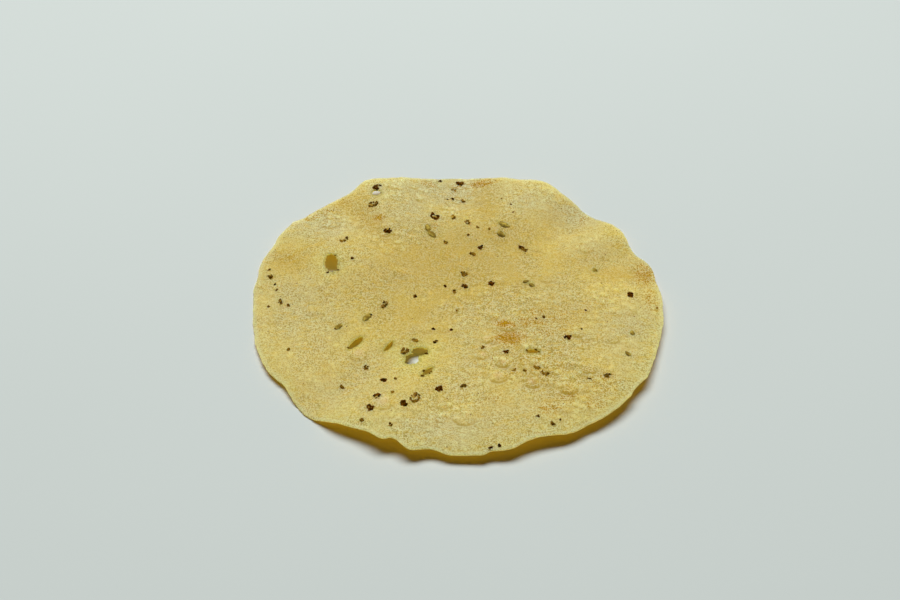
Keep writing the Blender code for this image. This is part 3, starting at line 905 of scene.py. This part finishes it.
class PapadumGrains(bpy.types.PropertyGroup):
    chip_width: length_setting("Chip width", "Width of an average chip of cracked pepper", 2.5, 0.3)
    cumin_width: length_setting("Cumin width", "How thick a cumin seed is at its middle", 3.5, 0.5)
    crag_height: length_setting("Crag height", "How uneven the faces of a chip are", 0.18)
    pepper: colour_setting("Pepper", "Colour of a peppercorn's shell", "1C0D00")
    pepper_edge: colour_setting("Pepper edge", "Colour where the shell is worn or thin", "4C2A02")
    husk: colour_setting("Husk", "Colour of a fried seed husk", "705414")
    husk_dark: colour_setting("Dark husk", "Colour of the scorched side of a husk", "3E2A04")
    kernel: colour_setting("Kernels", "Colour of the inside of a fried grain", "8A7230")
    kernel_dark: colour_setting("Dark kernels", "Colour of an inside that is browned", "503610")
    cumin: colour_setting("Cumin", "Colour of a cumin seed's ribs", "867632")
    cumin_dark: colour_setting("Cumin grooves", "Colour between the ribs", "5E4C19")


def laid_points(name, spots):
    """Points on the bread's upper side, each with the way it faces, its turn and its size.

    A spot is (x, y, how far it is sunk, turn, (length, width, height)), in mm and degrees.
    """
    bread = bpy.data.objects["papadum_bread"]
    top = BVHTree.FromObject(bread, bpy.context.evaluated_depsgraph_get())
    places, leans, turns, sizes = [], [], [], []
    for x, y, sunk, turn, size in spots:
        above = (Vector((x, y, ABOVE_ALL)) - Vector(MIDDLE)) * MM
        where, facing, _, _ = top.ray_cast(above, Vector((0, 0, -1)))
        if where is None or facing.z < STEEPEST:
            continue
        facing = (facing + Vector((0, 0, UPRIGHT))).normalized()
        places.append(where / MM + Vector(MIDDLE) - facing * sunk)
        leans.append(facing)
        turns.append(math.radians(turn))
        sizes.append(Vector(size) * MM)
    mesh = mesh_of(name, places, [])
    give(mesh, "lean", leans, "FLOAT_VECTOR")
    give(mesh, "turn", turns)
    give(mesh, "size", sizes, "FLOAT_VECTOR")
    return mesh


def shapes_collection(name, meshes):
    """The shapes to lay, each one unit long, in a collection that is removed afterwards."""
    shapes = bpy.data.collections.new(name)
    bpy.context.scene.collection.children.link(shapes)
    for number, mesh in enumerate(meshes):
        shapes.objects.link(bpy.data.objects.new(f"{name}_{number}", mesh))
    return shapes


def remove_collection(shapes):
    for thing in list(shapes.objects):
        bpy.data.objects.remove(thing)
    bpy.data.collections.remove(shapes)


def laid_tree():
    """Lays one of the shapes at each point, as its lean, turn and size say, and roughens them."""
    if "papadum_laid" in bpy.data.node_groups:
        return bpy.data.node_groups["papadum_laid"]
    tree, given, made = new_shape_tree("papadum_laid", {
        "Shapes": "Collection", "Tilt": "Float", "Crag Width": "Float", "Crag Height": "Float",
        "Seed": "Int", "Material": "Material"})
    lean, turn, size = (
        add(tree, "GeometryNodeInputNamedAttribute", {"Name": name}, data_type=kind).outputs["Attribute"]
        for name, kind in (("lean", "FLOAT_VECTOR"), ("turn", "FLOAT"), ("size", "FLOAT_VECTOR")))
    points = add(tree, "GeometryNodeMeshToPoints", {"Mesh": given["Geometry"]})
    shapes = add(tree, "GeometryNodeCollectionInfo", {
        "Collection": given["Shapes"], "Separate Children": True, "Reset Children": True})
    # A shape stands the way its point leans, and is then turned and tilted a little at random.
    laid = add(tree, "FunctionNodeAlignRotationToVector", {"Vector": lean}, axis="Z").outputs[0]
    spun = add(tree, "ShaderNodeCombineXYZ", {"Z": turn}).outputs[0]
    most = add(tree, "ShaderNodeCombineXYZ", {"X": given["Tilt"], "Y": given["Tilt"]}).outputs[0]
    least = add(tree, "ShaderNodeVectorMath", {0: most, "Scale": -1.0}, operation="SCALE").outputs[0]
    tilt = add(tree, "FunctionNodeRandomValue", {0: least, 1: most, "Seed": given["Seed"]},
               data_type="FLOAT_VECTOR").outputs[0]
    for angles in (spun, tilt):
        turned = add(tree, "FunctionNodeEulerToRotation", {0: angles}).outputs[0]
        laid = add(tree, "FunctionNodeRotateRotation", {0: laid, 1: turned},
                   rotation_space="LOCAL").outputs[0]
    which = add(tree, "FunctionNodeRandomValue", {4: 0, 5: PICKS, "Seed": given["Seed"]}, data_type="INT")
    copies = add(tree, "GeometryNodeInstanceOnPoints", {
        "Points": points.outputs[0], "Instance": shapes.outputs[0], "Pick Instance": True,
        "Instance Index": which.outputs[2], "Rotation": laid, "Scale": size})
    # Instances can't be roughened one by one, so they are made real before that.
    real = add(tree, "GeometryNodeRealizeInstances", {"Geometry": copies.outputs[0]})
    position = add(tree, "GeometryNodeInputPosition").outputs[0]
    scale = add(tree, "ShaderNodeMath", {0: 1.0, 1: given["Crag Width"]}, operation="DIVIDE").outputs[0]
    crags = add(tree, "ShaderNodeTexNoise", {"Vector": position, "Scale": scale, "Detail": 1.0})
    crags = add(tree, "ShaderNodeVectorMath", {0: crags.outputs["Color"], 1: (0.5, 0.5, 0.5)},
                operation="SUBTRACT")
    crags = add(tree, "ShaderNodeVectorMath", {0: crags.outputs[0], "Scale": given["Crag Height"]},
                operation="SCALE")
    moved = add(tree, "GeometryNodeSetPosition", {
        "Geometry": real.outputs[0], "Offset": crags.outputs[0]})
    end_tree(tree, made, moved.outputs[0], given["Material"])
    return tree


def mesh_from(shape, name):
    """The mesh of a closed shape, with its faces turned outwards."""
    bmesh.ops.recalc_face_normals(shape, faces=shape.faces[:])
    mesh = bpy.data.meshes.new(name)
    shape.to_mesh(mesh)
    shape.free()
    return mesh


def chip_mesh(dice):
    """One angular chip of shell, one unit long."""
    shape = bmesh.new()
    for _ in range(CHIP_CORNERS):
        side = Vector([dice.gauss(0, 1) for _ in range(3)]).normalized() * dice.uniform(0.75, 1.0)
        shape.verts.new(side * Vector(CHIP_HALF_SIZES))
    bmesh.ops.convex_hull(shape, input=shape.verts[:])
    bmesh.ops.delete(shape, geom=[vert for vert in shape.verts if not vert.link_faces], context="VERTS")
    return mesh_from(shape, "chip")


def cumin_mesh():
    """One cumin seed, a unit long along X: a ribbed spindle with a slight bend and a short stalk."""
    rings, sides, ribs = 11, 18, 6
    blunt, taper, most_bend, rib_height = 0.7, 0.2, 0.05, 0.16
    shape = bmesh.new()
    rows = []
    for ring in range(1, rings):
        share = ring / rings
        plump = math.sin(math.pi * share) ** blunt * (1.06 - taper * share)
        bend = most_bend * math.sin(math.pi * share)
        row = []
        for side in range(sides):
            angle = math.tau * side / sides
            radius = 0.5 * plump * (1 + rib_height * math.cos(ribs * angle))
            across, up = radius * math.cos(angle), radius * math.sin(angle)
            row.append(shape.verts.new((share - 0.5, across + bend, up)))
        rows.append(row)
    tips = shape.verts.new((-0.5, 0, 0)), shape.verts.new((0.53, 0, 0))
    for side in range(sides):
        beside = (side + 1) % sides
        for row, after in zip(rows, rows[1:]):
            shape.faces.new((row[side], row[beside], after[beside], after[side]))
        for tip, row in zip(tips, (rows[0], rows[-1])):
            shape.faces.new((tip, row[side], row[beside]))
    return mesh_from(shape, "cumin")


def chips_of(spots, width, roundness, shares, dice):
    """The chips of shell that each cracked grain lies there in: one, or part of a ring of them."""
    found = []
    for x, y, length, turn in spots:
        size = min(width, length)
        along, across = 0.5 * (length - size), 0.5 * roundness * (length - size)
        share = dice.uniform(*shares)
        count = 1 + round(share * math.tau * (along + across) / 2 / (0.5 * size))
        first = dice.uniform(0, math.tau)
        angle = math.radians(turn)
        for step in range(count):
            at = first + share * math.tau * step / count
            ahead = along * math.cos(at) + dice.uniform(-CHIP_SHIFT, CHIP_SHIFT)
            beside = across * math.sin(at) + dice.uniform(-CHIP_SHIFT, CHIP_SHIFT)
            piece = size * (dice.uniform(*CHIP_SPREAD) if count > 1 else LONE_CHIP)
            found.append((
                x + ahead * math.cos(angle) - beside * math.sin(angle),
                y + ahead * math.sin(angle) + beside * math.cos(angle),
                0, turn + dice.uniform(-90, 90),
                (piece, CHIP_LONGER * piece, min(piece, THICKEST_CHIP))))
    return found


def kernels_of(spots, dice):
    """The broken, flat inside of each cracked grain, which its shell lies round."""
    found = []
    for x, y, length, turn in spots:
        if length > KERNEL_SHOWS:
            size = dice.uniform(*KERNEL_LENGTHS) * length
            x += dice.uniform(-KERNEL_SHIFT, KERNEL_SHIFT)
            y += dice.uniform(-KERNEL_SHIFT, KERNEL_SHIFT)
            width = dice.uniform(*KERNEL_WIDTHS) * size
            found.append((x, y, KERNEL_SUNK, turn, (size, width, KERNEL_THICK)))
    return found


def grain_material(name, light, dark, width, roughness):
    """The dry shell of a spice, in clouds of a lighter and a darker colour. Frying has left it dull."""
    material, tree, coords = new_material(name)
    clouds, wrinkles = (
        add(tree, "ShaderNodeTexNoise", {
            "Vector": coords, "Scale": 1 / (size * MM), "Detail": 2.0}).outputs["Fac"]
        for size in (width, WRINKLE_WIDTH))
    share = add(tree, "ShaderNodeMapRange", {"Value": clouds, 1: 0.42, 2: 0.62}).outputs[0]
    colour = add(tree, "ShaderNodeMix", {0: share, 6: dark, 7: light}, data_type="RGBA").outputs[2]
    bumps = add(tree, "ShaderNodeBump", {"Strength": 0.5, "Distance": 0.1 * MM, "Height": wrinkles})
    surface = add(tree, "ShaderNodeBsdfPrincipled", {
        "Base Color": colour, "Roughness": roughness, "Specular IOR Level": 0.0,
        "Normal": bumps.outputs[0]})
    add(tree, "ShaderNodeOutputMaterial", {"Surface": surface.outputs[0]})
    return material


def lay_grains(name, spots, shapes, material, tilt, crag_width, crag_height, seed):
    """One piece with every grain of a kind on the bread. The crags' width is in mm."""
    if "papadum_bread" not in bpy.data.objects:
        raise RuntimeError("Make the bread first: the grains lie on it")
    grains = new_piece(name, laid_points(name, spots))
    kinds = shapes_collection(name + "_kind", shapes)
    run_tree(grains, laid_tree(), {
        "Shapes": kinds, "Tilt": tilt, "Crag Width": crag_width * MM, "Crag Height": crag_height,
        "Seed": seed, "Material": material})
    remove_collection(kinds)
    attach(grains, BODY)
    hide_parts(NODE)
    return grains


class PAPADUM_OT_pepper(bpy.types.Operator):
    """Lay the chips of cracked black pepper"""

    bl_idname = "papadum.pepper"
    bl_label = "Pepper"

    def execute(self, context):
        look = context.scene.papadum_grains
        dice = random.Random(11)
        grains = PEPPER + FLECKS[:DARK_FLECKS]
        width = look.chip_width / MM
        spots = chips_of(grains, width, roundness=0.75, shares=(0.75, 1), dice=dice)
        shell = grain_material(
            "cracked_black_pepper", look.pepper_edge[:], look.pepper[:], width=1.2, roughness=0.55)
        chips = [chip_mesh(dice) for _ in range(KINDS)]
        pepper = lay_grains(
            "pepper_chips", spots, chips, shell,
            tilt=0.5, crag_width=0.6, crag_height=look.crag_height, seed=3)
        pepper.data.shade_flat()
        return {"FINISHED"}


class PAPADUM_OT_husks(bpy.types.Operator):
    """Lay the browned bits of seed husk, and the crumbs that line the holes"""

    bl_idname = "papadum.husks"
    bl_label = "Husks"

    def execute(self, context):
        look = context.scene.papadum_grains
        dice = random.Random(12)
        grains = HUSKS + FLECKS[DARK_FLECKS:]
        width = HUSK_SHARE * look.chip_width / MM
        spots = chips_of(grains, width, roundness=0.6, shares=(0.5, 0.9), dice=dice)
        for outline in OUTLINES:
            middle = outline.mean(0)
            for corner in outline:
                if dice.random() < CRUMB_CHANCE:
                    size = look.chip_width / MM * dice.uniform(*CRUMB_SPREAD)
                    x, y = (corner - middle) * CRUMB_OUT + middle
                    spots.append((x, y, CRUMB_SUNK, dice.uniform(0, 180), (size, size, size)))
        shell = grain_material(
            "fried_seed_husk", look.husk[:], look.husk_dark[:], width=2.2, roughness=0.6)
        chips = [chip_mesh(dice) for _ in range(KINDS)]
        husks = lay_grains(
            "husk_bits", spots, chips, shell,
            tilt=0.6, crag_width=0.5, crag_height=look.crag_height, seed=5)
        husks.data.shade_flat()
        return {"FINISHED"}


class PAPADUM_OT_kernels(bpy.types.Operator):
    """Lay the insides of the cracked grains"""

    bl_idname = "papadum.kernels"
    bl_label = "Kernels"

    def execute(self, context):
        look = context.scene.papadum_grains
        dice = random.Random(13)
        spots = kernels_of(PEPPER + HUSKS, dice)
        inside = grain_material(
            "fried_grain_inside", look.kernel[:], look.kernel_dark[:], width=3, roughness=0.6)
        chips = [chip_mesh(dice) for _ in range(KINDS)]
        kernels = lay_grains(
            "kernel_bits", spots, chips, inside,
            tilt=0.2, crag_width=0.8, crag_height=look.crag_height, seed=6)
        kernels.data.shade_flat()
        return {"FINISHED"}


class PAPADUM_OT_cumin(bpy.types.Operator):
    """Lay the cumin seeds"""

    bl_idname = "papadum.cumin"
    bl_label = "Cumin"

    def execute(self, context):
        look = context.scene.papadum_grains
        spots = []
        for x, y, length, turn in CUMIN:
            wide = min(look.cumin_width / MM, CUMIN_PLUMPEST * length)
            size = (CUMIN_LENGTH * length, wide, CUMIN_HEIGHT * wide)
            spots.append((x, y, CUMIN_SUNK * wide, turn, size))
        ribs = grain_material(
            "fried_cumin_seed", look.cumin[:], look.cumin_dark[:], width=1.6, roughness=0.6)
        seeds = lay_grains(
            "cumin_seeds", spots, [cumin_mesh()], ribs,
            tilt=0.08, crag_width=1.2, crag_height=1.4 * look.crag_height, seed=7)
        seeds.data.shade_smooth()
        return {"FINISHED"}


# ---------------------------------------------------------------- the stage

PHOTO_TILT = 41.447       # how far the camera looks down, in degrees
PHOTO_ROLL = 1.183
PHOTO_DISTANCE = 608.7    # mm from the lens to the point it looks at
LOOKS_AT = (-3.49, 2.73, 0.0)
LENS = 50.0               # mm
SENSOR_WIDTH = 36         # mm
LIGHT_DISTANCE = 3.0      # m
FLOOR_REACH = 4000        # mm from the middle to each side
FLOOR_GAP = 0.02          # mm from the floor to the papadum, so that they don't share a face


class PapadumStage(bpy.types.PropertyGroup):
    floor: colour_setting("Floor", "Colour of the plain floor", "8F9592")
    light_size: bpy.props.FloatVectorProperty(
        name="Light size", description="Width and depth of the soft light overhead",
        default=(3.4, 1.5), size=2, min=0.1, unit="LENGTH", subtype="XYZ")
    light_power: bpy.props.FloatProperty(
        name="Light power", description="Power of the soft light overhead, in watts",
        default=246.0, min=0, unit="POWER")
    light_tilt: bpy.props.FloatProperty(
        name="Light tilt", description="How far the light leans over to the back",
        default=math.radians(26), subtype="ANGLE", unit="ROTATION")
    light_turn: bpy.props.FloatProperty(
        name="Light turn", description="How far the light stands round to the left of the back",
        default=math.radians(7), subtype="ANGLE", unit="ROTATION")
    sky: colour_setting("Room", "Colour of the even light from all round", "F4F6F5")
    sky_strength: bpy.props.FloatProperty(
        name="Fill light", description="Strength of the even light from all round",
        default=0.02, min=0, subtype="FACTOR")


def photo_camera():
    """The camera that the photograph's angle and size of the papadum ask for."""
    tilt = math.radians(PHOTO_TILT)
    aim = (Vector(LOOKS_AT) - Vector(MIDDLE)) * MM
    camera = bpy.data.objects.new("camera", bpy.data.cameras.new("camera"))
    camera.data.lens = LENS
    camera.data.sensor_width = SENSOR_WIDTH
    camera.data.clip_start = 0.01
    away = PHOTO_DISTANCE * MM * Vector((0, -math.cos(tilt), math.sin(tilt)))
    place = Matrix.Translation(aim + away)
    turn = Matrix.Rotation(math.pi / 2 - tilt, 4, "X") @ Matrix.Rotation(math.radians(PHOTO_ROLL), 4, "Z")
    camera.matrix_world = place @ turn
    return camera


def floor_material(colour):
    """Matt off-white board, with the faint unevenness of its paint."""
    material, tree, coords = new_material("matt_white_board")
    cloud = add(tree, "ShaderNodeTexNoise", {"Vector": coords, "Scale": 4.0, "Detail": 2.0})
    shade = add(tree, "ShaderNodeMapRange", {"Value": cloud.outputs["Fac"], 3: 0.98, 4: 1.02}).outputs[0]
    colour = add(tree, "ShaderNodeVectorMath", {0: colour[:3], "Scale": shade}, operation="SCALE")
    surface = add(tree, "ShaderNodeBsdfPrincipled", {
        "Base Color": colour.outputs[0], "Roughness": 0.75, "Specular IOR Level": 0.2})
    add(tree, "ShaderNodeOutputMaterial", {"Surface": surface.outputs[0]})
    return material


class PAPADUM_OT_stage(bpy.types.Operator):
    """Set the pale floor, the soft light and the camera"""

    bl_idname = "papadum.stage"
    bl_label = "Stage"

    def execute(self, context):
        look = context.scene.papadum_stage
        corners = [(x * FLOOR_REACH, y * FLOOR_REACH, -FLOOR_GAP)
                   for x, y in ((-1, -1), (1, -1), (1, 1), (-1, 1))]
        floor = new_piece("floor", mesh_of("floor", corners, [(0, 1, 2, 3)]))
        floor.data.materials.append(floor_material(look.floor))
        light = bpy.data.objects.new("soft_light", bpy.data.lights.new("soft_light", "AREA"))
        light.data.shape = "ELLIPSE"
        light.data.size, light.data.size_y = look.light_size
        light.data.energy = look.light_power
        lean = Matrix.Rotation(look.light_turn, 4, "Z") @ Matrix.Rotation(-look.light_tilt, 4, "X")
        light.matrix_world = lean @ Matrix.Translation((0, 0, LIGHT_DISTANCE))
        context.scene.collection.objects.link(light)
        world = bpy.data.worlds.new("pale_room")
        world.use_nodes = True
        background = world.node_tree.nodes["Background"]
        background.inputs["Color"].default_value = look.sky
        background.inputs["Strength"].default_value = look.sky_strength
        context.scene.world = world
        context.scene.view_settings.view_transform = "Standard"
        camera = photo_camera()
        context.scene.collection.objects.link(camera)
        context.scene.camera = camera
        return {"FINISHED"}


# ---------------------------------------------------------------- the add-on


class PAPADUM_PT_panel(bpy.types.Panel):
    """Everything that makes the papadum, in the order in which it is made"""

    bl_idname = "PAPADUM_PT_panel"
    bl_label = "Papadum"
    bl_space_type = "VIEW_3D"
    bl_region_type = "UI"
    bl_category = "Papadum"

    def draw(self, context):
        for name, kinds in SETTINGS.items():
            box = self.layout.box()
            for kind in kinds["makes"]:
                box.operator(kind.bl_idname)
            settings = getattr(context.scene, name)
            for setting in kinds["holds"].__annotations__:
                box.prop(settings, setting)


SETTINGS = {
    "papadum_bread": {"holds": PapadumBread, "makes": (PAPADUM_OT_bread,)},
    "papadum_grains": {
        "holds": PapadumGrains,
        "makes": (PAPADUM_OT_pepper, PAPADUM_OT_husks, PAPADUM_OT_kernels, PAPADUM_OT_cumin)},
    "papadum_stage": {"holds": PapadumStage, "makes": (PAPADUM_OT_stage,)},
}


def register():
    for name, kinds in SETTINGS.items():
        for kind in (kinds["holds"], *kinds["makes"]):
            bpy.utils.register_class(kind)
        setattr(bpy.types.Scene, name, bpy.props.PointerProperty(type=kinds["holds"]))
    bpy.utils.register_class(PAPADUM_PT_panel)


def unregister():
    bpy.utils.unregister_class(PAPADUM_PT_panel)
    for name, kinds in SETTINGS.items():
        delattr(bpy.types.Scene, name)
        for kind in (*kinds["makes"], kinds["holds"]):
            bpy.utils.unregister_class(kind)


def main():
    register()
    bpy.ops.papadum.bread()
    bpy.ops.papadum.pepper()
    bpy.ops.papadum.husks()
    bpy.ops.papadum.kernels()
    bpy.ops.papadum.cumin()
    bpy.ops.papadum.stage()


if __name__ == "__main__":
    main()
